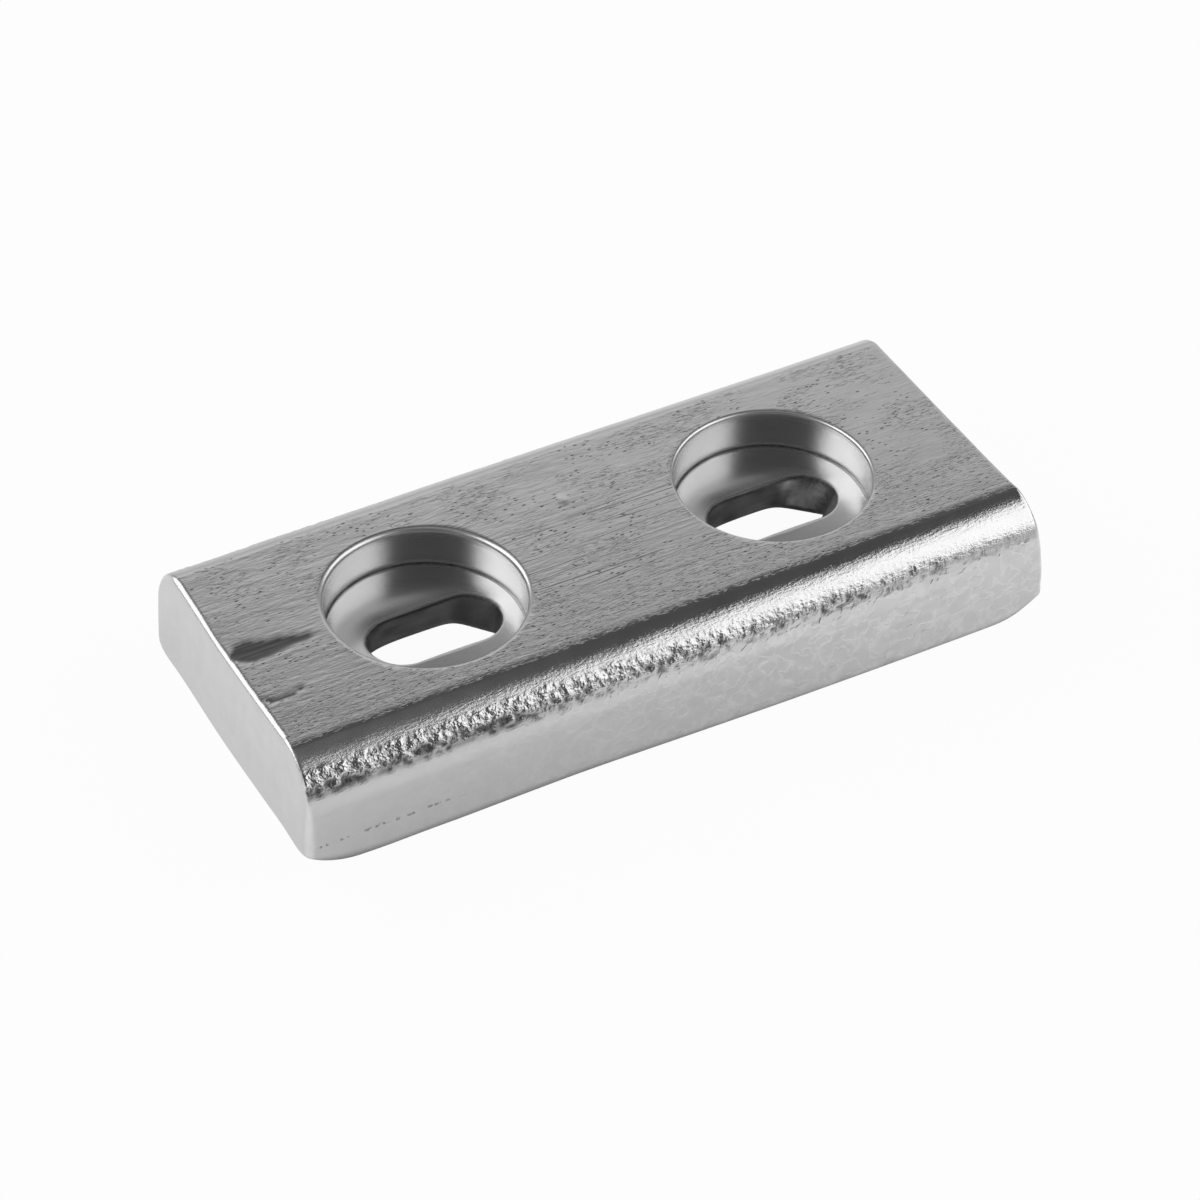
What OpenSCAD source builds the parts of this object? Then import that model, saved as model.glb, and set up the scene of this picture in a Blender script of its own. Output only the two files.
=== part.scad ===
// Hull anode: one zinc casting, a flat-topped bar with rounded shoulders.
// Two flat-bottomed counterbores take the bolt heads, a slot in the floor of each lets
// the bolts slide to suit the hull, and the underside is cored out behind the webs.
// The foot stands on z = 0, the length runs along X, and all sizes are in millimetres.

/* [Bar] */
// Overall length, measured just above the toes, where the bar is longest
bar_l = 121; // [112:1:160]
// Width across the foot, measured to the corners that its fillets round off
bar_w = 52; // [48:0.5:64]
// Overall height, foot to ground top
bar_h = 19.5; // [18.5:0.5:26]

/* [Shoulders and sides] */
// Radius of the rounded shoulder along each long side
shoulder_r = 9; // [8.8:0.2:12]
// Depth of the shoulder's centre line below the ground top
shoulder_drop = 8.6; // [7:0.2:8.8]
// Mould draft of the long sides, in degrees
side_draft = 1.2; // [0:0.1:3]
// Fillet along the foot of the long sides
foot_r = 2; // [1:0.25:3]

/* [Ends] */
// Mould draft of the end faces, in degrees
end_draft = 2.5; // [0.5:0.5:5]
// Height of the broken edge between each end face and the ground top
end_break = 0.8; // [0.3:0.1:2]
// Rounding of the four upright corners
corner_r = 1.2; // [0.5:0.1:3]
// How far in from the end the toe starts to lift off the foot plane
toe_l = 8; // [4:0.5:11]
// Radius of the lifted toe under each end
toe_r = 12; // [11:0.5:16]

/* [Counterbores] */
// Distance between the two hole centres
hole_pitch = 58; // [50:0.5:70]
// Diameter of the counterbore that takes the bolt head
bore_d = 29.5; // [24:0.5:32]
// Depth of the counterbore's flat floor below the top
bore_depth = 6.5; // [5:0.5:8.5]
// Width of the broken edge round the counterbore's mouth
rim_break = 0.4; // [0.2:0.1:1]

/* [Slots] */
// Width of the bolt slot in the floor of the counterbore
slot_w = 10.5; // [8.5:0.5:13]
// Length of the bolt slot, end to end
slot_l = 20.8; // [16:0.2:22]
// Thickness of the web that the slot goes through
web_t = 5; // [4:0.5:6]

/* [Underside hollow] */
// Width of the foot left along each long side of the hollow
side_wall = 9.5; // [7:0.5:10.5]
// Width of the foot left at each end of the hollow
end_wall = 13.5; // [11:0.5:15]
// Corner radius of the hollow, seen from below
hollow_r = 7; // [4:0.5:12]
// Draft of the hollow's walls, in degrees
hollow_draft = 3; // [1:0.5:6]

/* [Hidden] */
$fn = 96;
over = 1; // how far a cutter runs past the face that it opens

// Section of the bar: where the drafted side leaves the shoulder and meets the foot fillet
shoulder_z = bar_h - shoulder_drop;
side_z = shoulder_z + shoulder_r * sin(side_draft);
side_y = bar_w / 2 - side_z * tan(side_draft);
shoulder_y = side_y - shoulder_r * cos(side_draft);
foot_y = bar_w / 2 - foot_r * (cos(side_draft) + tan(side_draft) * (1 + sin(side_draft)));
foot_side_z = foot_r * (1 + sin(side_draft));
foot_side_y = bar_w / 2 - foot_side_z * tan(side_draft);

// Where the toe's arc starts on the foot plane, and how high the flat end face begins
toe_x = bar_l / 2 - toe_l;
toe_z = toe_r - sqrt(toe_r * toe_r - toe_l * toe_l);

// Where the drafted end face reaches its broken edge, and where its line leaves below the foot
break_z = bar_h - end_break;
break_x = bar_l / 2 - (break_z - toe_z) * tan(end_draft);
low_x = bar_l / 2 + (toe_z + over) * tan(end_draft);

// The floor of the counterbore and the ceiling of the hollow are the web's two faces
floor_z = bar_h - bore_depth;
ceiling_z = floor_z - web_t;
hollow_x = bar_l / 2 - end_wall;
hollow_y = bar_w / 2 - side_wall;

function mirrored(points) = [for (i = [len(points) - 1 : -1 : 0]) [-points[i][0], points[i][1]]];

// Half of the core outline, from the foot up to the flat top, with the arcs left out
core_half = [
    [foot_y, 0],
    [foot_side_y, foot_side_z],
    [side_y, side_z],
    [shoulder_y, shoulder_z],
    [shoulder_y, bar_h]
];

// Cross-section in width and height: a loaf with its crown ground flat
module section() {
    intersection() {
        union() {
            polygon(concat(core_half, mirrored(core_half)));
            for (side = [-1, 1]) {
                translate([side * shoulder_y, shoulder_z]) circle(r = shoulder_r);
                translate([side * foot_y, foot_r]) circle(r = foot_r);
            }
        }
        translate([-bar_w / 2, 0]) square([bar_w, bar_h]);
    }
}

// One end in side view, past the foot and past the top: the drafted face and its broken edge
end_half = [
    [low_x, -over],
    [break_x, break_z],
    [break_x - end_break - over, bar_h + over]
];

// What is missing under one toe, seen from the side
module toe_gap() {
    difference() {
        translate([toe_x, -over]) square([toe_l + 2 * over, toe_z + over]);
        translate([toe_x, toe_r]) circle(r = toe_r);
    }
}

// Carries a side view across the whole width of the bar and a little past it
module across() {
    translate([0, bar_w / 2 + over, 0])
        rotate([90, 0, 0]) linear_extrude(bar_w + 2 * over) children();
}

// A rectangle with round corners, centred, seen from above
module rounded_plan(length, width, radius) {
    square([length - 2 * radius, width], center = true);
    square([length, width - 2 * radius], center = true);
    for (x = [-1, 1], y = [-1, 1])
        translate([x * (length / 2 - radius), y * (width / 2 - radius)]) circle(r = radius);
}

// The cast bar before its holes: what the three views have in common, less the toes' gaps
module blank() {
    difference() {
        intersection() {
            translate([-bar_l / 2 - over, 0, 0])
                rotate([90, 0, 90]) linear_extrude(bar_l + 2 * over) section();
            across() polygon(concat(end_half, mirrored(end_half)));
            translate([0, 0, -over])
                linear_extrude(bar_h + 2 * over) rounded_plan(bar_l, bar_w, corner_r);
        }
        for (end = [0, 1])
            mirror([end, 0, 0]) across() toe_gap();
    }
}

// Counterbore with a flat floor and a broken edge at its mouth
module counterbore() {
    translate([0, 0, floor_z]) cylinder(d = bore_d, h = bore_depth + over);
    translate([0, 0, bar_h - rim_break])
        cylinder(d1 = bore_d, d2 = bore_d + 2 * (rim_break + over), h = rim_break + over);
}

// Round-ended slot through the web, along the bar
module slot() {
    travel = slot_l - slot_w;
    translate([0, 0, ceiling_z - over]) {
        translate([-travel / 2, -slot_w / 2, 0]) cube([travel, slot_w, web_t + 2 * over]);
        for (end = [-1, 1])
            translate([end * travel / 2, 0, 0]) cylinder(d = slot_w, h = web_t + 2 * over);
    }
}

// A long wedge whose two flanks lean in towards its top, centred on X and open below
module drafted_slab(half_foot, length) {
    flank = [
        [half_foot + over * tan(hollow_draft), -over],
        [half_foot - ceiling_z * tan(hollow_draft), ceiling_z]
    ];
    translate([-length / 2, 0, 0])
        rotate([90, 0, 90]) linear_extrude(length) polygon(concat(flank, mirrored(flank)));
}

// Cored hollow under the webs, drafted on its sides and its ends
module hollow() {
    intersection() {
        drafted_slab(hollow_y, 2 * (hollow_x + over));
        rotate([0, 0, 90]) drafted_slab(hollow_x, 2 * (hollow_y + over));
        translate([0, 0, -over])
            linear_extrude(ceiling_z + over) rounded_plan(2 * hollow_x, 2 * hollow_y, hollow_r);
    }
}

module anode() {
    color([0.62, 0.62, 0.63])
        difference() {
            blank();
            hollow();
            for (end = [-1, 1])
                translate([end * hole_pitch / 2, 0, 0]) {
                    counterbore();
                    slot();
                }
        }
}

anode();
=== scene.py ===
import math

import bmesh
import bpy
import numpy as np
from mathutils import Matrix


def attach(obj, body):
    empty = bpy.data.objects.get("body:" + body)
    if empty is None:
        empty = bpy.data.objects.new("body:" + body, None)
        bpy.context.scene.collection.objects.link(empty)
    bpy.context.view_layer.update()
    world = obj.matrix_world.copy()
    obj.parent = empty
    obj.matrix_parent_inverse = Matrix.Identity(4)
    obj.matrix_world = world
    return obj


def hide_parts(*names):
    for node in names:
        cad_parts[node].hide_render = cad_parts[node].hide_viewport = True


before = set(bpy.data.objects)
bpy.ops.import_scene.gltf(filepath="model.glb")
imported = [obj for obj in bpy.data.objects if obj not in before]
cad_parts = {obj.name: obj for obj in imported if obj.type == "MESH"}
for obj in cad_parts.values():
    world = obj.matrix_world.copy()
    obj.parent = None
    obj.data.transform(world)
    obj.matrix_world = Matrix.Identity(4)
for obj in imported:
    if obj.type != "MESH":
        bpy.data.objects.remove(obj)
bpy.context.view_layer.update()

# The camera stands as it did for the photograph: to the left of the near side, a little over
# half a metre off, looking down at 42 degrees through a long lens and leaning 1.5 degrees.
turn, dip, lean = math.radians(-30.13), math.radians(90 - 41.68), math.radians(1.547)
camera = bpy.data.objects.new("camera", bpy.data.cameras.new("camera"))
camera.data.sensor_width = 36.0
camera.data.lens = 134.07
camera.data.clip_start, camera.data.clip_end = 0.05, 20.0
camera.matrix_world = (
    Matrix.Translation((-0.24750, -0.42637, 0.44566))
    @ Matrix.Rotation(turn, 4, "Z")
    @ Matrix.Rotation(dip, 4, "X")
    @ Matrix.Rotation(lean, 4, "Z")
)
bpy.context.scene.collection.objects.link(camera)
bpy.context.scene.camera = camera
bpy.context.scene.view_settings.view_transform = "Standard"


# The table is a plain white sheet that runs on past the view. Seen straight on it is near white
# of itself, and in the metal too save for a painted shadow and painted shade on its glow; the rest
# of its light shows the casting's shadow.
def sheet_of_white():
    """One square face, 4 m a side, at the height of the foot."""
    half = 2.0
    corners = [(-half, -half, 0), (half, -half, 0), (half, half, 0), (-half, half, 0)]
    made = bpy.data.meshes.new("table")
    made.from_pydata(corners, [], [(0, 1, 2, 3)])
    return made


table = bpy.data.objects.new("table", sheet_of_white())
bpy.context.scene.collection.objects.link(table)
table_white = bpy.data.materials.new("table_white")
table_white.use_nodes = True
nodes, links = table_white.node_tree.nodes, table_white.node_tree.links
nodes.clear()


def reckon(operation, first, second=0.0, third=0.0):
    """A Math node of the material in hand, fed with sockets or with plain numbers."""
    step = nodes.new("ShaderNodeMath")
    step.operation = operation
    for socket, value in zip(step.inputs, (first, second, third)):
        if isinstance(value, (int, float)):
            socket.default_value = value
        else:
            links.new(value, socket)
    return step.outputs[0]


def ease(value, low, high, at_low=0.0, at_high=1.0):
    """Runs from at_low to at_high as the value goes from low to high, with a smooth step."""
    step = nodes.new("ShaderNodeMapRange")
    step.interpolation_type = "SMOOTHSTEP"
    step.inputs["From Min"].default_value = low
    step.inputs["From Max"].default_value = high
    step.inputs["To Min"].default_value = at_low
    step.inputs["To Max"].default_value = at_high
    links.new(value, step.inputs["Value"])
    return step.outputs["Result"]


ends = nodes.new("ShaderNodeOutputMaterial")
matt = nodes.new("ShaderNodeBsdfDiffuse")
matt.inputs["Color"].default_value = (0.86, 0.86, 0.86, 1)
glow = nodes.new("ShaderNodeEmission")
glow.inputs["Color"].default_value = (1, 1, 1, 1)
glow.inputs["Strength"].default_value = 1.0
path = nodes.new("ShaderNodeLightPath")
spot = nodes.new("ShaderNodeSeparateXYZ")
links.new(nodes.new("ShaderNodeTexCoord").outputs["Object"], spot.inputs[0])
at_x, at_y = spot.outputs["X"], spot.outputs["Y"]
# Mirrored in the metal, the sheet's glow has a painted shadow: dark where the foot touches it,
# brightening further off.
foot_half_l, foot_half_w = 0.0592, 0.0260
beyond_end = reckon("SUBTRACT", reckon("ABSOLUTE", at_x), foot_half_l)
beyond_side = reckon("SUBTRACT", reckon("ABSOLUTE", at_y), foot_half_w)
beyond = reckon("MAXIMUM", beyond_end, beyond_side)
touched = ease(beyond, -0.0012, 0.0030, 0.03, 0.80)
contact_shadow = reckon("MULTIPLY", touched, ease(beyond, 0.001, 0.030, 1.0, 1.75))
# Painted shade on the mirrored glow: the strip along the near side is greyer to the left, and the
# one behind is greyer all along.
in_front = reckon("MULTIPLY", ease(at_y, -0.0230, -0.0270), ease(at_x, -0.0680, -0.0600))
front_share = reckon("MULTIPLY", in_front, ease(at_x, 0.0, 0.070, -0.36, -0.08))
behind = ease(at_y, 0.0250, 0.0300, 0.0, -0.55)
back_share = reckon("MULTIPLY", behind, ease(at_x, -0.0600, -0.0570))
painted_shade = reckon("ADD", reckon("ADD", front_share, back_share), 1.0)
white_share = 0.96
straight_on = reckon("MAXIMUM", path.outputs["Is Camera Ray"], path.outputs["Is Transmission Ray"])
looked_at = reckon("MULTIPLY", straight_on, white_share)
mirrored = reckon("MULTIPLY", path.outputs["Is Glossy Ray"], reckon("MULTIPLY", contact_shadow, painted_shade))
both = nodes.new("ShaderNodeMixShader")
links.new(reckon("MAXIMUM", looked_at, mirrored), both.inputs[0])
links.new(matt.outputs[0], both.inputs[1])
links.new(glow.outputs[0], both.inputs[2])
links.new(both.outputs[0], ends.inputs[0])
table.data.materials.append(table_white)

# The studio is a dim grey room with a pale skirt low down and a paler wall behind the table.
# Two tall soft boxes stand to the right and to the left, and leave the ceiling dark.
room = bpy.data.worlds.new("room")
bpy.context.scene.world = room
room.use_nodes = True
nodes, links = room.node_tree.nodes, room.node_tree.links
nodes.clear()
ends = nodes.new("ShaderNodeOutputWorld")
grey = nodes.new("ShaderNodeBackground")
white = nodes.new("ShaderNodeBackground")
white.inputs["Color"].default_value = (1, 1, 1, 1)
where = nodes.new("ShaderNodeTexCoord")


def toward(azimuth, elevation, wide, narrow):
    """0 to 1 as the angle between the looked-at direction and the one named falls from wide to
    narrow degrees: a smooth step of their dot product."""
    a, e = math.radians(azimuth), math.radians(elevation)
    level_part = math.cos(e)
    dot = nodes.new("ShaderNodeVectorMath")
    dot.operation = "DOT_PRODUCT"
    dot.inputs[1].default_value = (math.cos(a) * level_part, math.sin(a) * level_part, math.sin(e))
    links.new(where.outputs["Generated"], dot.inputs[0])
    return ease(dot.outputs["Value"], math.cos(math.radians(wide)), math.cos(math.radians(narrow)))


split = nodes.new("ShaderNodeSeparateXYZ")
links.new(where.outputs["Generated"], split.inputs[0])
up = split.outputs["Z"]
room_grey, skirt_white, wall_white = 0.12, 0.20, 0.85
level = reckon("MULTIPLY_ADD", ease(up, 0.30, 0.12), skirt_white, room_grey)
pale_wall = reckon("MULTIPLY", toward(60, 16, 30, 22), ease(up, 0.10, 0.42, 0.60, 1.0))
level = reckon("MULTIPLY_ADD", pale_wall, wall_white, level)
# Smaller pale patches above that wall, low on the right and straight above, each with its
# azimuth, elevation, outer and inner angle in degrees, and how pale it is.
for azimuth, elevation, wide, narrow, pale in (
    (80, 42, 18, 10, 0.18),
    (-52, 10, 19, 9, 0.60),
    (204, 87, 16, 8, 0.36),
):
    level = reckon("MULTIPLY_ADD", toward(azimuth, elevation, wide, narrow), pale, level)
links.new(level, grey.inputs["Strength"])
path = nodes.new("ShaderNodeLightPath")
both = nodes.new("ShaderNodeMixShader")
links.new(path.outputs["Is Camera Ray"], both.inputs[0])
links.new(grey.outputs[0], both.inputs[1])
links.new(white.outputs[0], both.inputs[2])
links.new(both.outputs[0], ends.inputs[0])


def soft_box(name, azimuth, elevation, distance, width, height, radiance):
    """A rectangular lamp that faces the casting from the named direction."""
    a, e = math.radians(azimuth), math.radians(elevation)
    lamp = bpy.data.lights.new(name, "AREA")
    lamp.shape = "RECTANGLE"
    lamp.size, lamp.size_y = width, height
    lamp.energy = radiance * math.pi * width * height
    box = bpy.data.objects.new(name, lamp)
    box.matrix_world = (
        Matrix.Rotation(a, 4, "Z")
        @ Matrix.Rotation(-e, 4, "Y")
        @ Matrix.Translation((distance, 0, 0))
        @ Matrix.Rotation(math.radians(90), 4, "Y")
        @ Matrix.Rotation(math.radians(90), 4, "Z")
    )
    bpy.context.scene.collection.objects.link(box)


soft_box("right_box", -26, 37, 1.6, 2.14, 1.14, 1.6)
soft_box("left_box", 143, 36, 1.2, 1.4, 0.75, 2.4)

# The casting is one piece of zinc: a bar with a ground top, rounded shoulders and as-cast
# sides, two bored recesses with a slot in the floor of each, and a cored hollow below. It is
# made of loops of points: a closed section carried along the bar, and rings into each hole.
MM = 0.001
half_l, half_w, bar_h = 60.5, 26.0, 19.5
shoulder_r, shoulder_drop, side_draft = 9.0, 8.6, math.radians(1.2)
end_draft = math.radians(2.5)
toe_l, toe_r, toe_reach = 8.0, 12.0, 9.0
hole_x, bore_r, bore_z, floor_slope = 29.0, 14.75, 13.0, 0.042
slot_r, slot_travel, web_z, corner = 5.35, 5.05, 8.0, 0.18
hollow_x, hollow_y, hollow_r, hollow_draft = 47.0, 16.5, 7.0, math.radians(3)

points, faces = [], []
count = 0


def place(xyz):
    """Adds an array of points of any shape and returns their numbers in the same shape."""
    global count
    flat = np.asarray(xyz, float).reshape(-1, 3)
    points.append(flat)
    numbers = np.arange(count, count + len(flat)).reshape(np.shape(xyz)[:-1])
    count += len(flat)
    return numbers


def weave(rows, keep=None):
    """Joins each loop of a stack of closed loops to the next one with four-sided faces."""
    a, b = rows[:-1], rows[1:]
    c, d = np.roll(b, -1, axis=1), np.roll(a, -1, axis=1)
    made = np.stack([a, b, c, d], axis=-1)
    faces.append(made.reshape(-1, 4) if keep is None else made[keep])


def spread(*stretches):
    """Runs of evenly spaced values end to end: (from, to, steps) for each stretch."""
    return np.concatenate([np.linspace(a, b, n, endpoint=False) for a, b, n in stretches])


def ramp(value, low, high):
    """0 at low to 1 at high, with a smooth start and stop."""
    t = np.clip((value - low) / (high - low), 0, 1)
    return t * t * (3 - 2 * t)


# The section, round from the middle of the foot: near foot, near side, near shoulder, the
# ground top, then the same down the far side. Each row has a place from 0 to 1 on one stretch.
side_z = bar_h - shoulder_drop + shoulder_r * math.sin(side_draft)
side_y = half_w - side_z * math.tan(side_draft)
centre_y = side_y - shoulder_r * math.cos(side_draft)
crease_a = math.asin(shoulder_drop / shoulder_r)
crease_y = centre_y + shoulder_r * math.cos(crease_a)
# The top is plain within block_y of the middle, and the flat foot starts at foot_in.
block_y, foot_in = 17.0, 18.0


def flank(steps, foot_fillet, shoulder, lean):
    """One side of the section from the foot to the crease, as outward distance and height on a
    grid of columns by rows: foot, fillet, drafted side, shoulder arc. steps is rows for each,
    shoulder is the arc's radius, and lean is how much further out the foot stands."""
    r, shoulder = foot_fillet[:, None], shoulder[:, None]
    arc_z = bar_h - shoulder * math.sin(crease_a)
    side_z = arc_z + shoulder * math.sin(side_draft)
    tilt = math.tan(side_draft)
    foot_y = half_w - r * (math.cos(side_draft) + tilt * (1 + math.sin(side_draft)))
    t = [np.arange(n)[None] / n for n in steps]
    y0 = foot_in + (foot_y - foot_in) * t[0]
    z0 = 0 * y0
    a = t[1] * (math.pi / 2 + side_draft)
    y1, z1 = foot_y + r * np.sin(a), r - r * np.cos(a)
    low_z = r * (1 + math.sin(side_draft))
    z2 = low_z + (side_z - low_z) * t[2]
    y2 = half_w - z2 * tilt
    b = side_draft + (crease_a - side_draft) * t[3] + 0 * r
    y3, z3 = side_y + shoulder * (np.cos(b) - math.cos(side_draft)), arc_z + shoulder * np.sin(b)
    y, z = np.concatenate([y0, y1, y2, y3], 1), np.concatenate([z0, z1, z2, z3], 1)
    return y + lean[:, None] * np.clip(1 - z / side_z, 0, 1) * np.clip((y - foot_in) / 6, 0, 1), z


columns = 340
near_steps, far_steps = (4, 6, 22, 44), (3, 4, 7, 12)
roll_steps, strip_steps, block_steps, under_steps = 4, 3, 60, 16
x0 = np.linspace(-half_l, half_l, columns + 1)
near_fillet = 1.2 + 0.9 * ramp(x0, 20, -22) + 0.5 * ramp(x0, -48, -58) + 0.7 * ramp(x0, 55, 60)
near_lean = 0.10 + 0.49 * ramp(x0, -8, 40) - 0.12 * np.exp(-(((x0 + 20) / 12) ** 2))
near_y, near_z = flank(near_steps, near_fillet, shoulder_r + 0 * x0, near_lean)
far_r = 7.5 + 0.7 * ramp(x0, -20, 55)
far_fillet = 2.0 + 2.2 * ramp(x0, -50, -60)
far_y, far_z = flank(far_steps, far_fillet, far_r, 0 * x0)
one = np.ones((columns + 1, 1))
roll_w, roll_tilt = 1.3, math.tan(math.radians(8))
top_y = one * spread(
    (-crease_y, roll_w - crease_y, roll_steps),
    (roll_w - crease_y, -block_y, strip_steps),
    (-block_y, block_y, block_steps),
)
far_crease_y = side_y - far_r[:, None] * (math.cos(side_draft) - math.cos(crease_a))
top_y = np.append(top_y, block_y + (far_crease_y - block_y) * np.linspace(0, 1, 7), axis=1)
# The grinding rolled over a little along the near crease.
top_z = bar_h - roll_tilt / (2 * roll_w) * np.clip(-top_y - (crease_y - roll_w), 0, roll_w) ** 2
near_z -= roll_tilt * roll_w / 2 * np.clip((near_z - side_z) / (bar_h - side_z), 0, 1) ** 2
under_y = one * spread((foot_in, -foot_in, under_steps))[1:]
section_y = np.concatenate([-near_y, top_y, far_y[:, ::-1], under_y], 1)
section_z = np.concatenate([near_z, top_z, far_z[:, ::-1], 0 * under_y], 1)
rows = section_y.shape[1]
row_block = near_y.shape[1] + roll_steps + strip_steps
row_hollow = near_y.shape[1] + top_y.shape[1] + far_y.shape[1] - 1

# The toes lift the foot, and the ends lean out as they go down.
past = np.clip(np.abs(x0) - (half_l - toe_l), 0, toe_l)
lift = toe_r - np.sqrt(toe_r**2 - past**2)
low = np.clip(1 - section_z / toe_reach, 0, 1) ** 2
z = section_z + lift[:, None] * low
toe_z = toe_r - math.sqrt(toe_r**2 - toe_l**2)
climb = np.arctan(toe_l / math.sqrt(toe_r**2 - toe_l**2) * low)


def end_face(side, y, z):
    """How far from the middle the end face stands: drafted, leaning out a little more towards
    its foot, the left one bowed across the bar and the right one turned a little."""
    flat = half_l - np.clip(z - toe_z, 0, None) * math.tan(end_draft)
    down = np.clip((bar_h + 0.5 - z) / 12, 0, 1)
    bow = 0.33 - 0.78 * ramp(y, -2, 27) + 0.38 * down
    turned_out = -0.33 + 0.90 * down + 0.22 * ramp(y, -8, -24) - 0.15 * ramp(y, -10, 14)
    turned_out += 0.25 * ramp(y, -17, -21) * ramp(z, 13, 16)
    return flat + np.where(side < 0, bow, turned_out)


side_of = np.sign(x0)[:, None]
# How far the edges of the ends are rounded, from the foot up to the top.
left_r = np.interp(section_z, [0, 5, 12, 19], [2.2, 1.8, 1.15, 0.85])
left_r -= 0.35 * ramp(section_z, 10, 13) * (section_y < -block_y)
right_r = np.interp(section_z, [0, 6, 12, 19], [2.2, 1.0, 0.6, 0.5])
edge_r = np.where(side_of > 0, right_r, left_r)
limit = end_face(side_of, section_y, z) - edge_r * (1 - np.sin(climb))
# The columns keep their places up to straight, and past it they stretch to meet the end face.
straight = 46.0
stretched_out = (np.abs(x0)[:, None] - straight) * (limit - straight) / (half_l - straight)
x = np.where(
    np.abs(x0)[:, None] > straight,
    side_of * (straight + stretched_out),
    x0[:, None],
)
tube = place(np.stack([x, section_y, z], -1))

# Squares of the tube are left out round each bore and over the hollow.
keep = np.ones((columns, rows), bool)


def window(low_x, high_x, first, last):
    """Leaves a rectangle out of the tube and returns the numbers of the points round it."""
    a, b = np.searchsorted(x0, low_x), np.searchsorted(x0, high_x)
    keep[a:b, first:last] = False
    back = np.arange(last, first, -1) % rows
    round_it = [tube[a:b, first], tube[b, first:last], tube[b:a:-1, last % rows], tube[a, back]]
    return np.concatenate(round_it)


web_side, blunt_l = 5.25, 9.9


def slot_outline(angle, grow, down, nose_from, nose):
    """Where a ray at each angle from the middle meets the slot: two straights off the axis, and
    a half round about each end of the travel. Going down it turns into a blunter outline: on the
    left |x / a|^4 + |y / b|^4 = 1, and on the right straights that leave the side at nose_from
    and meet at nose, rounded by the tenth-power mean of the two. It is grown by grow, and down
    runs from 0 at the floor to 1 below."""
    c, s = np.cos(angle), np.abs(np.sin(angle))
    r, side = slot_r + grow, web_side + grow
    straight = r / np.maximum(s, 1e-9)
    round_end = slot_travel * np.abs(c) + np.sqrt(np.maximum(r * r - (slot_travel * s) ** 2, 0))
    lip = np.where(straight * np.abs(c) > slot_travel, round_end, straight)
    blunt = (np.abs(c / (blunt_l + grow)) ** 4 + (s / side) ** 4) ** -0.25
    slope = nose + grow - nose_from
    pointed = (((np.abs(c) + s * slope / side) / (nose + grow)) ** 10 + (s / side) ** 10) ** -0.1
    away = (1 - down) * lip + down * np.where(c < 0, blunt, pointed)
    return away * c, away * np.sin(angle)


def ring(middle, px, py, pz):
    """One loop about the middle of a hole, from arrays of x and y and one height or many."""
    return place(np.stack([middle + px, py, pz + 0 * px], -1))


roll_in, roll_rate = 3, 0.022


def floor_height(px, py, to_lip):
    """The recess floor rises a little from its wall towards the middle on the near side. On the
    far side it is flat and rolls over into the slot, by the square of the way gone past a line
    roll_in before the lip. to_lip is what is left of the way to the lip."""
    rise = floor_slope * (bore_r - np.hypot(px, py)) * ramp(py, 2, -4)
    return bore_z + rise - roll_rate * np.clip(roll_in - to_lip, 0, roll_in) ** 2 * ramp(py, -2, 3)


# The slots were cast a little off the middle of the bores that were cut later. For each: the
# bore's middle, how far off the slot is in x and y, the rim's radius, and the slot's two noses.
slots = ((-hole_x, 1.2, -0.55, 0.75, 5.5, 9.9), (hole_x, 0.2, -0.15, 0.5, 3.6, 9.1))
# The groove that the tool left round the foot of a bore: how far in, and how high.
groove_w, web_edge = 0.30, 0.2
groove_steps = (
    (0.0, 0.06), (0.0, -0.08), (0.05, -0.15), (0.13, -0.15), (0.21, -0.08), (groove_w, -0.01),
)
slot_mouths = []
for middle, off_x, off_y, rim, nose_from, nose in slots:
    frame_ids = window(middle - block_y, middle + block_y, row_block, row_block + block_steps)
    frame_xyz = np.concatenate(points)[frame_ids]
    angle = np.arctan2(frame_xyz[:, 1], frame_xyz[:, 0] - middle)
    c, s = np.cos(angle), np.sin(angle)
    rings = []
    mouth_r = bore_r + rim
    for t in np.linspace(0, 1, 11)[1:]:
        px = (1 - t) * (frame_xyz[:, 0] - middle) + t * mouth_r * c
        rings.append(ring(middle, px, (1 - t) * frame_xyz[:, 1] + t * mouth_r * s, bar_h))
    for a in np.radians([18, 36, 54, 72, 90]):
        r = mouth_r - rim * math.sin(a)
        rings.append(ring(middle, r * c, r * s, bar_h - rim * (1 - math.cos(a))))
    for h in np.linspace(bar_h - rim, bore_z + 0.35, 7)[1:]:
        rings.append(ring(middle, bore_r * c, bore_r * s, h))
    for r, h in groove_steps:
        rings.append(ring(middle, (bore_r - r) * c, (bore_r - r) * s, bore_z + h))
    lip_x, lip_y = slot_outline(angle, corner, 0, nose_from, nose)
    for t in np.linspace(0, 1, 15)[1:]:
        px = (1 - t) * (bore_r - groove_w) * c + t * (lip_x + off_x)
        py = (1 - t) * (bore_r - groove_w) * s + t * (lip_y + off_y)
        to_lip = np.hypot(px - lip_x - off_x, py - lip_y - off_y)
        lip_z = floor_height(px, py, to_lip)
        rings.append(ring(middle, px, py, lip_z))
    for a in np.radians([22, 45, 67, 90]):
        px, py = slot_outline(angle, corner * (1 - math.sin(a)), 0, nose_from, nose)
        rings.append(ring(middle, px + off_x, py + off_y, lip_z - corner * (1 - math.cos(a))))
    for t in np.linspace(0, 1, 8)[1:]:
        px, py = slot_outline(angle, 0, t, nose_from, nose)
        wall_z = (1 - t) * (lip_z - corner) + t * (web_z + web_edge)
        rings.append(ring(middle, px + off_x, py + off_y, wall_z))
    for a in np.radians([45, 90]):
        px, py = slot_outline(angle, web_edge * (1 - math.cos(a)), 1, nose_from, nose)
        rings.append(ring(middle, px + off_x, py + off_y, web_z + web_edge * (1 - math.sin(a))))
    weave(np.stack([frame_ids, *rings]))
    slot_mouths.append(rings[-1])

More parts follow.
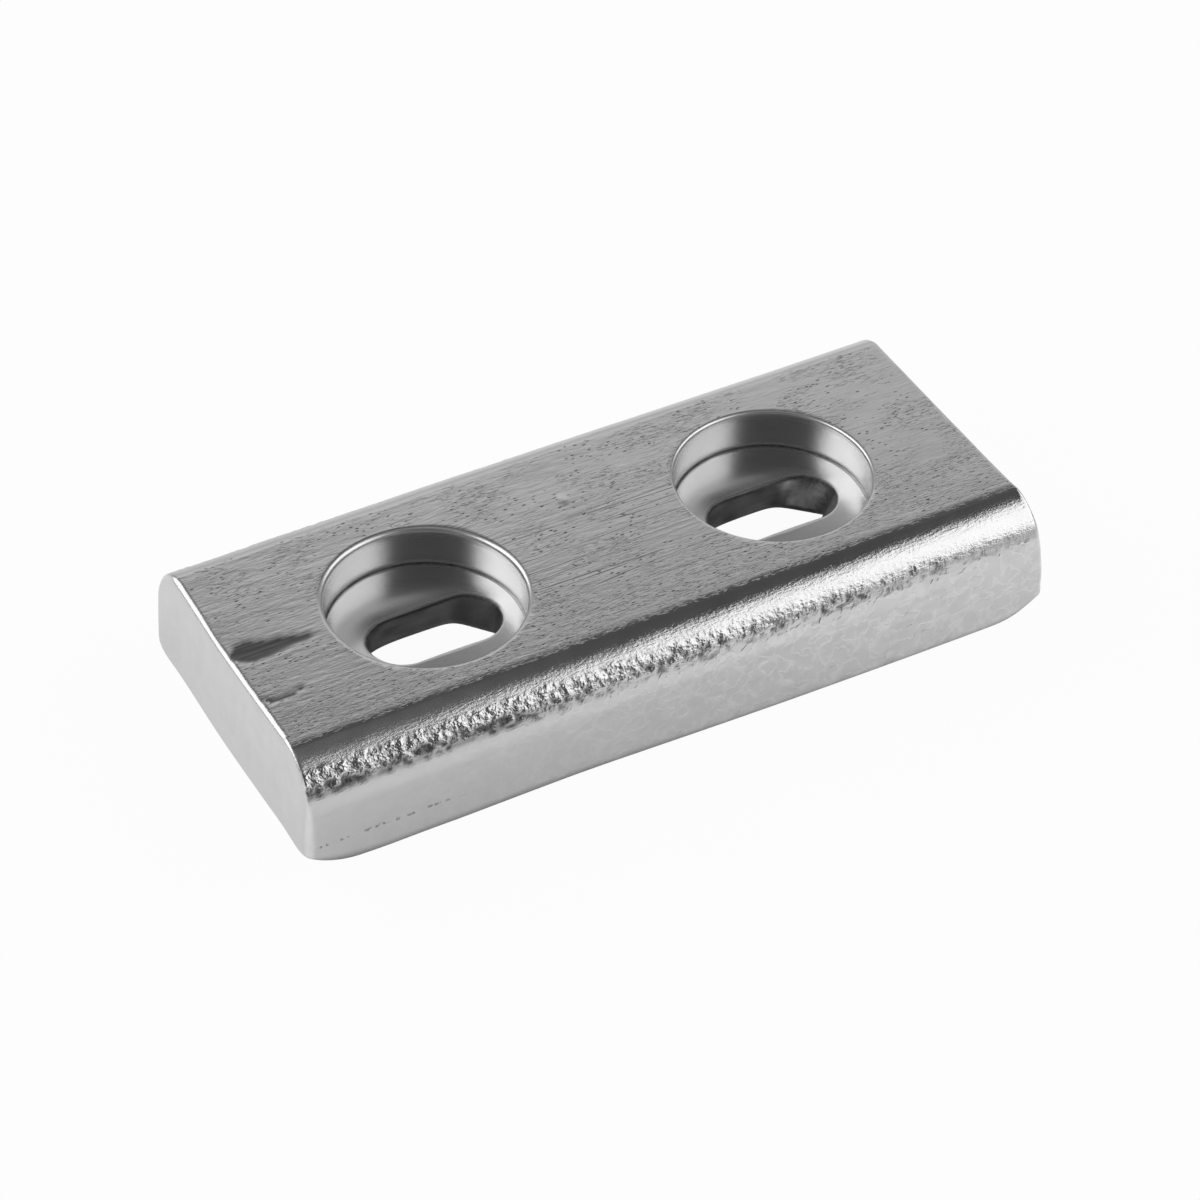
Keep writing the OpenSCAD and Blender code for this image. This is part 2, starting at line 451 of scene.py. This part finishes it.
# The hollow goes in from the foot: a rounded lip, drafted walls, a fillet and a flat ceiling.
window_x = 48.6
frame_ids = window(-window_x, window_x, row_hollow, row_hollow + under_steps)
frame_xyz = np.concatenate(points)[frame_ids]
core_x, core_y = hollow_x - hollow_r, hollow_y - hollow_r
core_px = np.clip(frame_xyz[:, 0], -core_x, core_x)
core_py = np.clip(frame_xyz[:, 1], -core_y, core_y)
away = np.stack([frame_xyz[:, 0] - core_px, frame_xyz[:, 1] - core_py], -1)
away /= np.linalg.norm(away, axis=1, keepdims=True)
rings = []


def hollow_ring(inset, height):
    """The hollow's outline drawn in by inset: a core rectangle and its corner radius."""
    r = hollow_r - inset
    at_height = np.full(len(away), height)
    xyz = np.stack([core_px + r * away[:, 0], core_py + r * away[:, 1], at_height], -1)
    rings.append(place(xyz))


lip, bend = 0.7, 1.5
for a in np.radians([0, 30, 60, 90]):
    hollow_ring(-lip * (1 - math.sin(a)), lip * (1 - math.cos(a)))
for h in np.linspace(lip, web_z - bend, 5)[1:]:
    hollow_ring(h * math.tan(hollow_draft), h)
drawn = (web_z - bend) * math.tan(hollow_draft)
for a in np.radians([30, 60, 90]):
    hollow_ring(drawn + bend * (1 - math.cos(a)), web_z - bend + bend * math.sin(a))
hollow_ring(drawn + bend + 0.6, web_z)
weave(np.stack([frame_ids, *rings]))
ceiling_loops = [rings[-1], *slot_mouths]
weave(tube, keep)


def zip_up(loop, first, last):
    """Closes a narrow loop with triangles between its two sides, which part at the places first
    and last. Each edge of one side takes the point of the other that is as far along."""
    sides = [loop[first : last + 1], np.roll(loop, -last)[: rows - last + first + 1][::-1]]
    middles = []
    for side in sides:
        run = np.cumsum(np.linalg.norm(np.diff(np.concatenate(points)[side], axis=0), axis=1))
        middles.append((run + np.append(0, run[:-1])) / (2 * run[-1]))
    across = sides[1][np.searchsorted(middles[1], middles[0])]
    one_way = np.stack([sides[0][:-1], sides[0][1:], across], -1)
    across = sides[0][np.searchsorted(middles[0], middles[1])]
    made = np.concatenate([one_way, np.stack([sides[1][1:], sides[1][:-1], across], -1)])
    return made[(made[:, 0] != made[:, 2]) & (made[:, 1] != made[:, 2])]


# Each end closes with loops that round the edge over and then draw in across the flat face,
# towards a line along its middle. The last loop is zipped up from one foot corner to the other.
spine_y, spine_z = 15, 9.5
core_low, core_high = 7.0, 10.7
caps = []
for side, at in ((-1, 0), (1, columns)):
    edge = np.stack([x[at], section_y[at], z[at]], -1)
    core = [np.clip(edge[:, 1], -centre_y, centre_y), np.clip(edge[:, 2], core_low, core_high)]
    out = edge[:, 1:] - np.stack(core, -1)
    out /= np.linalg.norm(out, axis=1, keepdims=True)
    r, start = edge_r[at][:, None], climb[at][:, None]
    loops = [tube[at]]
    for t in np.linspace(0, 1, 7)[1:]:
        a = start + (math.pi / 2 - start) * t
        yz = edge[:, 1:] - out * r * (np.cos(start) - np.cos(a))
        stand = side * end_face(side, yz[:, :1], yz[:, 1:])
        turned_in = (np.sin(a) - np.sin(start)) / (1 - np.sin(start))
        end_x = edge[:, :1] + (stand - edge[:, :1]) * turned_in
        loops.append(place(np.concatenate([end_x, yz], 1)))
    spine = np.stack([np.clip(edge[:, 1], -spine_y, spine_y), np.full(rows, spine_z)], -1)
    for t in np.linspace(0, 0.78, 8)[1:]:
        inner = (1 - t) * yz + t * spine
        stand = side * end_face(side, inner[:, :1], inner[:, 1:])
        loops.append(place(np.concatenate([stand, inner], 1)))
    weave(np.stack(loops))
    caps.append(zip_up(loops[-1], sum(near_steps[:2]), row_hollow - sum(far_steps[:2])))

made = bpy.data.meshes.new("casting")
quads = np.concatenate(faces)
used, quads = np.unique(quads, return_inverse=True)
renumber = np.full(count, -1)
renumber[used] = np.arange(len(used))
quads, triangles = quads.reshape(-1, 4), renumber[np.concatenate(caps)]
made.from_pydata(np.concatenate(points)[used] * MM, [], quads.tolist() + triangles.tolist())
shell = bmesh.new()
shell.from_mesh(made)
shell.verts.ensure_lookup_table()
round_ceiling = []
for loop in ceiling_loops:
    verts = [shell.verts[i] for i in renumber[loop]]
    round_ceiling += [shell.edges.get((a, b)) for a, b in zip(verts, verts[1:] + verts[:1])]
bmesh.ops.triangle_fill(shell, use_beauty=True, edges=round_ceiling)
bmesh.ops.recalc_face_normals(shell, faces=shell.faces)
shell.to_mesh(made)
shell.free()
made.shade_smooth()
made.update()

# The skin: the melt froze against the mould in wrinkles and blisters on the sides and in coarse
# crystals along the shoulders, the top was ground flat with some pits left, the bores were cut.
rest = np.empty(len(made.vertices) * 3)
made.vertices.foreach_get("co", rest)
rest = rest.reshape(-1, 3) / MM
normal = np.empty(len(made.vertices) * 3)
made.vertex_normals.foreach_get("vector", normal)
normal = normal.reshape(-1, 3)
px, py, pz = rest.T


def swell(at, size, seed):
    """Smooth random waves from -1 to 1: random values on a grid of points size mm apart, with
    the eight round a place blended by a smooth step along each axis."""
    block = np.random.default_rng(seed).uniform(-1, 1, (32, 32, 32))
    grid = at / np.asarray(size, float)
    cell = np.floor(grid).astype(int)
    t = grid - cell
    t = t * t * (3 - 2 * t)
    total = np.zeros(len(at))
    for i, j, k in np.ndindex(2, 2, 2):
        share = np.abs(1 - i - t[:, 0]) * np.abs(1 - j - t[:, 1]) * np.abs(1 - k - t[:, 2])
        total += share * block[(cell[:, 0] + i) % 32, (cell[:, 1] + j) % 32, (cell[:, 2] + k) % 32]
    return total


def grains(at, size, seed):
    """Distance, in grain sizes, to the nearest of points scattered one to a cube of that size."""
    scatter = np.random.default_rng(seed).uniform(0, 1, (32, 32, 32, 3))
    grid = at / size
    cell = np.floor(grid).astype(int)
    nearest = np.full(len(at), 9.0)
    for step in np.ndindex(3, 3, 3):
        there = cell + np.array(step) - 1
        seed_at = there + scatter[tuple((there % 32).T)]
        nearest = np.minimum(nearest, np.linalg.norm(grid - seed_at, axis=1))
    return nearest


# Where each kind of skin lies, from 0 to 1, by place along the bar and by tilt from the level
# in degrees: the ground top, the bores, and down the long sides the grit, the crust, the seam
# of pocks below it and the wall.
tilt = np.degrees(np.arctan2(np.abs(normal[:, 1]), normal[:, 2]))
endwise = np.abs(normal[:, 0])
along = 1 - ramp(endwise, 0.45, 0.85)
from_bore = np.hypot(np.abs(px) - hole_x, py)
in_bore = (from_bore < bore_r + 0.9) & (pz > bore_z - 0.9)
in_bore &= (from_bore > bore_r - 0.01) | (normal[:, 2] > 0.3) | (pz > bore_z)
ground = ramp(normal[:, 2], 0.975, 0.995) * (pz > bar_h - 0.12)
turned = in_bore * (1 - ground) * 1.0
long_side = along * (np.abs(py) > 19) * ~in_bore

crust_from = np.interp(px, [-60, -25, 15, 60], [37, 38, 42, 50])
crust = long_side * ramp(tilt, crust_from, crust_from + 8) * (1 - ramp(tilt, 60, 68))
coarse = np.interp(px, [-60, -35, 0, 30, 60], [1.0, 0.9, 0.55, 0.15, 0.03])
seam = long_side * ramp(tilt, 53, 58) * (1 - ramp(tilt, 65, 71))
seam *= np.interp(px, [-60, 0, 35, 60], [1, 0.8, 0.7, 0.1])
wall = long_side * ramp(tilt, 64, 74) * (1 - ramp(tilt, 96, 125))
grit = long_side * ramp(tilt, 22, 34) * (1 - ramp(tilt, 58, 70))
grit *= np.interp(px, [-60, 0, 30, 60], [1, 1, 0.9, 0.6])
shoulder = (np.abs(py) > 17) * ~in_bore * ramp(tilt, 12, 18) * (1 - ramp(tilt, 62, 72))

# Heights in millimetres, outwards: long waves, crystals, pocks, and folds and lumps on the wall.
wave_h, ground_h, crystal_h, grain_h = 0.035, 0.012, 0.22, 0.06
pock_h, fold_h, lump_h = 0.15, 0.08, 0.06
depth = wave_h * (1 - turned) * (1 - ground) * swell(rest, 6, 3)
depth += ground_h * ground * swell(rest, (14, 5, 5), 4)
knob = grains(rest, 1.1, 5)
depth += crust * coarse * (crystal_h * (0.5 - knob) + grain_h * swell(rest, 0.8, 6))
pock_at = swell(rest, (0.85, 0.9, 0.9), 7) + 0.25 * swell(rest, 3.5, 17) - 0.1 * (1 - coarse)
pock = ramp(pock_at, 0.10, 0.38)
depth -= seam * pock_h * pock

warp = np.stack([swell(rest, 5, 8), swell(rest, 5, 9), swell(rest, 5, 10)], 1) * 2.2
wide_fold = (1 - np.abs(swell(rest + warp, 3.1, 11))) ** 9
fine_fold = (1 - np.abs(swell(rest - warp, 2.2, 12))) ** 9
fold_share = np.interp(px, [-60, -25, 15, 60], [0.2, 0.6, 1.0, 1.2])
depth += wall * fold_h * (wide_fold + 0.7 * fine_fold) * fold_share
depth += wall * lump_h * swell(rest, 2.4, 13) * np.interp(px, [-60, 0, 60], [0.3, 0.7, 1.0])

# Blisters and dimples on the near side, as (along, height, radius, rise), then one on the top.
for bx, bz, r, rise in (
    (6.6, 2.6, 1.5, 0.14), (17.3, 5.3, 1.7, 0.12), (-11.8, 2.3, 1.0, 0.10),
    (34.7, 2.0, 1.3, -0.20), (26.0, 3.6, 1.1, 0.10), (43.0, 6.0, 1.2, 0.08),
    (-3.0, 6.5, 0.9, 0.06), (12.5, 8.2, 1.1, 0.06),
):
    gap = np.hypot(px - bx, pz - bz) / r
    lip_and_dome = np.exp(-((gap - 0.9) / 0.35) ** 2) + 0.5 * (gap < 1) * (1 - gap**2) ** 2
    depth += wall * (py < 0) * rise * lip_and_dome
bead_x, bead_y, bead_r, bead_h = -1.3, 9.5, 0.6, 0.09
bead = np.hypot(px - bead_x, py - bead_y)
depth += ground * bead_h * np.exp(-((bead / bead_r) ** 2))

# Two dark smears of dross near the left end, narrowing as they run along the bar.
smear_mid = np.interp(px, [-59, -56, -50, -44], [0.9, 0.9, 0.3, 0.0])
smear_half = np.interp(px, [-60, -58.6, -56.5, -52, -47, -43.5], [0.0, 1.7, 2.7, 1.6, 0.7, 0.0])
ragged = 0.35 * swell(rest, (2.0, 0.7, 1.0), 14)
feather = 0.5 + 0.5 * (py < smear_mid)
inside = smear_half - np.abs(py - smear_mid) + ragged * (smear_half > 0)
smear = ramp(inside, 0.0, feather) * (smear_half > 0)
small_mid = np.interp(px, [-59.4, -58.2, -55.5, -53], [-8.3, -9.5, -9.7, -9.0])
small_half = np.interp(px, [-59.6, -58, -55, -52.5], [0.15, 0.5, 0.35, 0.0])
small = ramp(small_half - np.abs(py - small_mid), -0.15, 0.2) * (small_half > 0)
smear = np.maximum(smear, small * 1.2)
smear *= ground * (px < 0)
smear_sunk = 0.05
depth -= smear_sunk * smear

# Painted shade and dross: painted shade in the groove at the foot of the bores, between the
# crystals and in the pocks, in the slots and round their lips; darker along the seam; and the
# dross smears.
# Painted shade in the groove at the foot of each bore, heaviest at the back.
groove_in, groove_up = (from_bore - bore_r + 0.08) / 0.16, (pz - bore_z + 0.07) / 0.2
groove_shade = np.exp(-(groove_in**2) - groove_up**2) * in_bore
groove_shade *= 0.35 + 0.65 * ramp(py / bore_r, 0.0, 0.8)
# Painted shade between the crystals and in the pocks of the seam.
crevice_shade = crust * coarse * ramp(knob, 0.5, 0.85)
crevice_shade += seam * pock * np.interp(px, [-20, 30], [0.8, 1.7])
upright = 1 - ramp(normal[:, 2], 0.93, 0.99)
# Painted shade down the slot walls, and round the far side of each lip in place of its highlight.
in_slot = (from_bore < 11.8) * (pz < 13.6) * upright * (pz > 7.7)
slot_x = np.where(px < 0, px + hole_x - slots[0][1], px - hole_x - slots[1][1])
slot_y = py - np.where(px < 0, slots[0][2], slots[1][2])
lip_at = np.hypot(*slot_outline(np.arctan2(slot_y, slot_x), corner, 0, 5, 9))
past_lip = np.clip(np.hypot(slot_x, slot_y) - lip_at, -0.1, 9)
lip_shade = np.exp(-((past_lip / 0.28) ** 2)) * (pz > 12.2) * ramp(slot_y, -3, 2)
lip_shade *= in_bore | (in_slot > 0)
# The painted shade in the slots is mottled, and heavier on the side of each bore towards its end.
slot_shade = 0.35 + 0.25 * swell(rest, (2.5, 2.5, 1.5), 22) + 0.25 * ramp(px * np.sign(px) - 29, 0, 8)
smear *= 1.1 + 0.3 * swell(rest, (4, 0.7, 1), 21)
# Darker along the seam below the crust, most at the left.
seam_darkening = seam * coarse**2 * (0.6 + 0.45 * swell(rest, 2.0, 18))
# The painted shade, the seam's darkening and the dross smears, summed.
painted_shade_and_dross = groove_shade * 1.2 + smear + 0.7 * crevice_shade + seam_darkening + in_slot * slot_shade + 0.8 * lip_shade
shade_and_dross = np.clip(painted_shade_and_dross, 0, 1)
# Lighter, as wear and as a painted highlight: the edges of the ends, the rims of the bores and the
# bead.
end_edge = ramp(endwise, 0.12, 0.4) * (1 - ramp(endwise, 0.80, 0.98))
end_edge *= ~in_bore * (np.abs(px) > 56)
rim_edge = in_bore * (pz > bar_h - 0.76) * (1 - ground)
worn_and_highlight = np.clip(end_edge + 0.6 * rim_edge + 0.8 * ground * (bead < 0.7), 0, 1)

made.vertices.foreach_set("co", ((rest + normal * depth[:, None]) * MM).ravel())
made.update()
crystal = np.clip(crust * coarse + seam * (0.1 + 0.9 * pock), 0, 1)
zones = {
    "ground": ground, "turned": turned, "crust": crystal, "grit": grit,
    "shoulder": shoulder, "wall": wall, "shade_and_dross": shade_and_dross, "worn_and_highlight": worn_and_highlight,
}
for name, values in zones.items():
    shares = made.attributes.new(name, "FLOAT", "POINT")
    shares.data.foreach_set("value", values.astype(np.float32))

casting = bpy.data.objects.new("casting", made)
bpy.context.scene.collection.objects.link(casting)
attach(casting, "root")
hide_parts("anode")

# The zinc itself: one bright bluish-grey metal, satin where it was cast, streaked along the bar
# where it was ground, smoother where it was turned, and dull where dross or dirt lies in it.
zinc = bpy.data.materials.new("zinc")
zinc.use_nodes = True
nodes, links = zinc.node_tree.nodes, zinc.node_tree.links
skin = nodes["Principled BSDF"]
skin.inputs["Metallic"].default_value = 1.0
casting.data.materials.append(zinc)
object_at = nodes.new("ShaderNodeTexCoord").outputs["Object"]


def zone(name):
    """One of the casting's own attributes, from 0 to 1."""
    node = nodes.new("ShaderNodeAttribute")
    node.attribute_name = name
    return node.outputs["Fac"]


def stretched(per_mm_x, per_mm_y, per_mm_z, offset=0.0):
    """Object coordinates counted in features per millimetre along each axis."""
    node = nodes.new("ShaderNodeMapping")
    node.inputs["Scale"].default_value = (per_mm_x / MM, per_mm_y / MM, per_mm_z / MM)
    node.inputs["Location"].default_value = (offset, offset, offset)
    links.new(object_at, node.inputs["Vector"])
    return node.outputs["Vector"]


def clouds(at, detail=3.0, rough=0.55):
    """Fractal noise about 0.5."""
    node = nodes.new("ShaderNodeTexNoise")
    node.inputs["Scale"].default_value = 1.0
    node.inputs["Detail"].default_value = detail
    node.inputs["Roughness"].default_value = rough
    links.new(at, node.inputs["Vector"])
    return node.outputs["Fac"]


def cells(at):
    """Distance to the nearest of points scattered one to a cell."""
    node = nodes.new("ShaderNodeTexVoronoi")
    node.inputs["Scale"].default_value = 1.0
    links.new(at, node.inputs["Vector"])
    return node.outputs["Distance"]


def times(first, *others):
    """The product of sockets, two at a time."""
    for other in others:
        first = reckon("MULTIPLY", first, other)
    return first


def far_from(value, middle):
    """How far a value is from its middle, either way."""
    return reckon("ABSOLUTE", reckon("SUBTRACT", value, middle))


is_ground, is_turned, is_crust, is_grit = map(zone, ("ground", "turned", "crust", "grit"))
is_shoulder, is_wall, is_shade_and_dross, is_worn_and_highlight = map(zone, ("shoulder", "wall", "shade_and_dross", "worn_and_highlight"))
spot = nodes.new("ShaderNodeSeparateXYZ")
links.new(object_at, spot.inputs[0])
at_x, at_y, at_z = spot.outputs["X"], spot.outputs["Y"], spot.outputs["Z"]

# On the ground top: fine dashes along the bar, thickest by the near edge, ripples that are
# strongest to the left, scattered pits, and a few long scratches between the bores.
dash_noise = clouds(stretched(0.9, 3.2, 3.2), 3.0, 0.6)
patch = clouds(stretched(0.09, 0.16, 0.16, 7.0), 2.0)
near_edge = times(ease(at_y, -6 * MM, -15 * MM), ease(at_x, 10 * MM, 55 * MM, 1.0, 0.4))
dash_amount = reckon("MAXIMUM", near_edge, ease(patch, 0.42, 0.66))
dashes = times(ease(dash_noise, 0.50, 0.76), dash_amount)
ripple_share = ease(at_x, -60 * MM, 60 * MM, 1.2, 0.5)
ripples = times(clouds(stretched(0.28, 1.1, 1.1, 13.0), 2.0), ripple_share)
long_streak = clouds(stretched(0.05, 1.6, 1.6, 3.0), 4.0, 0.65)
pit_cells = reckon("MULTIPLY_ADD", dash_noise, 0.25, cells(stretched(0.6, 1.7, 1.7, 5.0)))
pitted = ease(clouds(stretched(0.12, 0.2, 0.2, 11.0), 2.0), 0.44, 0.56)
pits = times(ease(pit_cells, 0.37, 0.20), pitted)
scratch_noise = clouds(stretched(0.02, 0.45, 0.45, 23.0), 1.0)
between = ease(far_from(at_x, 8 * MM), 34 * MM, 16 * MM)
between = times(between, ease(far_from(at_y, -3 * MM), 13 * MM, 6 * MM))
scratches = times(ease(far_from(scratch_noise, 0.5), 0.030, 0.008), between)
top_height = times(long_streak, 0.20)
for pattern, high in ((dashes, -0.8), (ripples, 0.55), (scratches, -0.2), (pits, -0.7)):
    top_height = reckon("MULTIPLY_ADD", pattern, high, top_height)
mottle = clouds(stretched(0.25, 0.35, 0.35, 9.0), 3.0)

# On the cast skin: fine frost everywhere, sharp crystals and a flow along the bar on the
# shoulders, and wandering folds on the wall, stronger to the right.
frost = clouds(stretched(2.2, 2.2, 2.2, 1.0), 3.0, 0.6)
small_crystals = cells(stretched(2.5, 2.5, 2.5, 4.0))
crystals = reckon("MULTIPLY_ADD", cells(stretched(1.25, 1.25, 1.25, 2.0)), 1.7, small_crystals)
flow = clouds(stretched(0.7, 3.0, 3.0, 17.0), 3.0, 0.65)
drift = nodes.new("ShaderNodeTexNoise")
drift.inputs["Scale"].default_value = 0.5
links.new(stretched(1, 1, 1), drift.inputs["Vector"])
fold_at = nodes.new("ShaderNodeVectorMath")
fold_at.operation = "MULTIPLY_ADD"
fold_at.inputs[1].default_value = (1.3, 1.3, 1.3)
links.new(drift.outputs["Color"], fold_at.inputs[0])
links.new(stretched(0.42, 0.42, 0.42), fold_at.inputs[2])
folds = ease(far_from(clouds(fold_at.outputs[0], 0.5, 0.4), 0.5), 0.09, 0.0)
folds = times(folds, is_wall, ease(at_x, -60 * MM, 20 * MM, 0.10, 1.0))
flow_share = reckon("ADD", is_grit, times(is_shoulder, 0.3))
cast_height = times(frost, reckon("MULTIPLY_ADD", is_grit, 0.60, 0.22))
for pattern, high in ((flow, flow_share), (crystals, times(is_crust, 1.15)), (folds, 0.8)):
    cast_height = reckon("MULTIPLY_ADD", pattern, high, cast_height)
# A line of specks low on the near side by the left end, where the two halves of the mould met.
joint_z = 6.05 * MM
joint_off = reckon("MULTIPLY_ADD", mottle, 0.9 * MM, reckon("SUBTRACT", at_z, joint_z))
joint_specks = ease(clouds(stretched(0.9, 0.5, 0.5, 19.0), 2.0), 0.47, 0.56)
joint = times(ease(reckon("ABSOLUTE", joint_off), 0.26 * MM, 0.10 * MM), joint_specks)
joint = times(joint, ease(at_x, -32 * MM, -42 * MM), ease(at_y, -15 * MM, -20 * MM), is_wall)
cast_height = reckon("MULTIPLY_ADD", joint, -1.2, cast_height)

# In the bores: close turning marks round each axis.
marks_per_mm = 4.0
off_axis = reckon("SUBTRACT", reckon("ABSOLUTE", at_x), hole_x * MM)
radius = reckon("SQRT", reckon("ADD", times(off_axis, off_axis), times(at_y, at_y)))
turn_at = nodes.new("ShaderNodeCombineXYZ")
links.new(times(radius, marks_per_mm / MM), turn_at.inputs["X"])
links.new(times(at_z, marks_per_mm / MM), turn_at.inputs["Y"])
turn_height = times(clouds(turn_at.outputs[0], 2.0, 0.6), 0.10)


def blend(zone_value, inside, outside):
    """Outside the zone one value, inside it the other, in between a mix of the two."""
    node = nodes.new("ShaderNodeMix")
    for place_in, value in ((0, zone_value), (2, outside), (3, inside)):
        if isinstance(value, (int, float)):
            node.inputs[place_in].default_value = value
        else:
            links.new(value, node.inputs[place_in])
    return node.outputs[0]


height = blend(is_turned, turn_height, blend(is_ground, top_height, cast_height))
bump = nodes.new("ShaderNodeBump")
bump.inputs["Strength"].default_value = 1.0
bump.inputs["Distance"].default_value = 0.045 * MM
links.new(height, bump.inputs["Height"])
links.new(bump.outputs[0], skin.inputs["Normal"])

# Satin on the cast skin, sharper on the crystals and towards the right along the shoulder, and
# rougher on the worn, highlight-painted edges and in the dross and painted shade.
satin, sharpest, turned_rough = 0.18, 0.07, 0.26
shoulder_rough = times(is_shoulder, ease(at_x, -60 * MM, 20 * MM, 0.05, -0.10))
cast_rough = reckon("MULTIPLY_ADD", mottle, 0.08, reckon("ADD", shoulder_rough, satin))
cast_rough = reckon("MAXIMUM", reckon("MULTIPLY_ADD", is_crust, -0.16, cast_rough), sharpest)
ground_rough = reckon("MULTIPLY_ADD", long_streak, 0.10, 0.12)
rough = blend(is_turned, turned_rough, blend(is_ground, ground_rough, cast_rough))
rough = reckon("MULTIPLY_ADD", is_worn_and_highlight, 0.14, rough)
links.new(reckon("MULTIPLY_ADD", is_shade_and_dross, 0.30, rough), skin.inputs["Roughness"])

# One grey, a little lighter where it was turned; lighter on the worn edges, as wear and painted
# highlight, and on the folds, as painted highlight; darker in the dross and the top's marks, and
# with painted shade in the groove, between the crystals, in the slots and round their lips.
turned_tone, ground_tone, cast_tone, darkest = 0.62, 0.585, 0.57, 0.20
tone = blend(is_turned, turned_tone, blend(is_ground, ground_tone, cast_tone))
tone = reckon("MULTIPLY_ADD", reckon("SUBTRACT", mottle, 0.5), 0.10, tone)
# Lighter on the worn edges, partly a painted highlight.
tone = reckon("MULTIPLY_ADD", is_worn_and_highlight, 0.12, tone)
# Painted highlight on the folds of the wall.
tone = reckon("MULTIPLY_ADD", folds, 0.05, tone)
# The pits, dashes and scratches of the top are darker; the dashes crowd by the near edge, which
# paints that edge darker as shade.
dark_marks = reckon("MAXIMUM", times(pits, 0.8), times(dashes, 0.50))
dark_marks = times(is_ground, reckon("MAXIMUM", dark_marks, times(scratches, 0.30)))
# Painted shade and dross darken the grey, streaked along the bar.
streaky_shade_and_dross = times(is_shade_and_dross, ease(long_streak, 0.35, 0.65, 0.75, 1.0))
darkening = reckon("MAXIMUM", streaky_shade_and_dross, reckon("MAXIMUM", dark_marks, times(joint, 0.5)))
tone = times(tone, ease(darkening, 0.0, 1.0, 1.0, darkest))
colour = nodes.new("ShaderNodeCombineColor")
for socket in colour.inputs:
    links.new(tone, socket)
links.new(colour.outputs[0], skin.inputs["Base Color"])
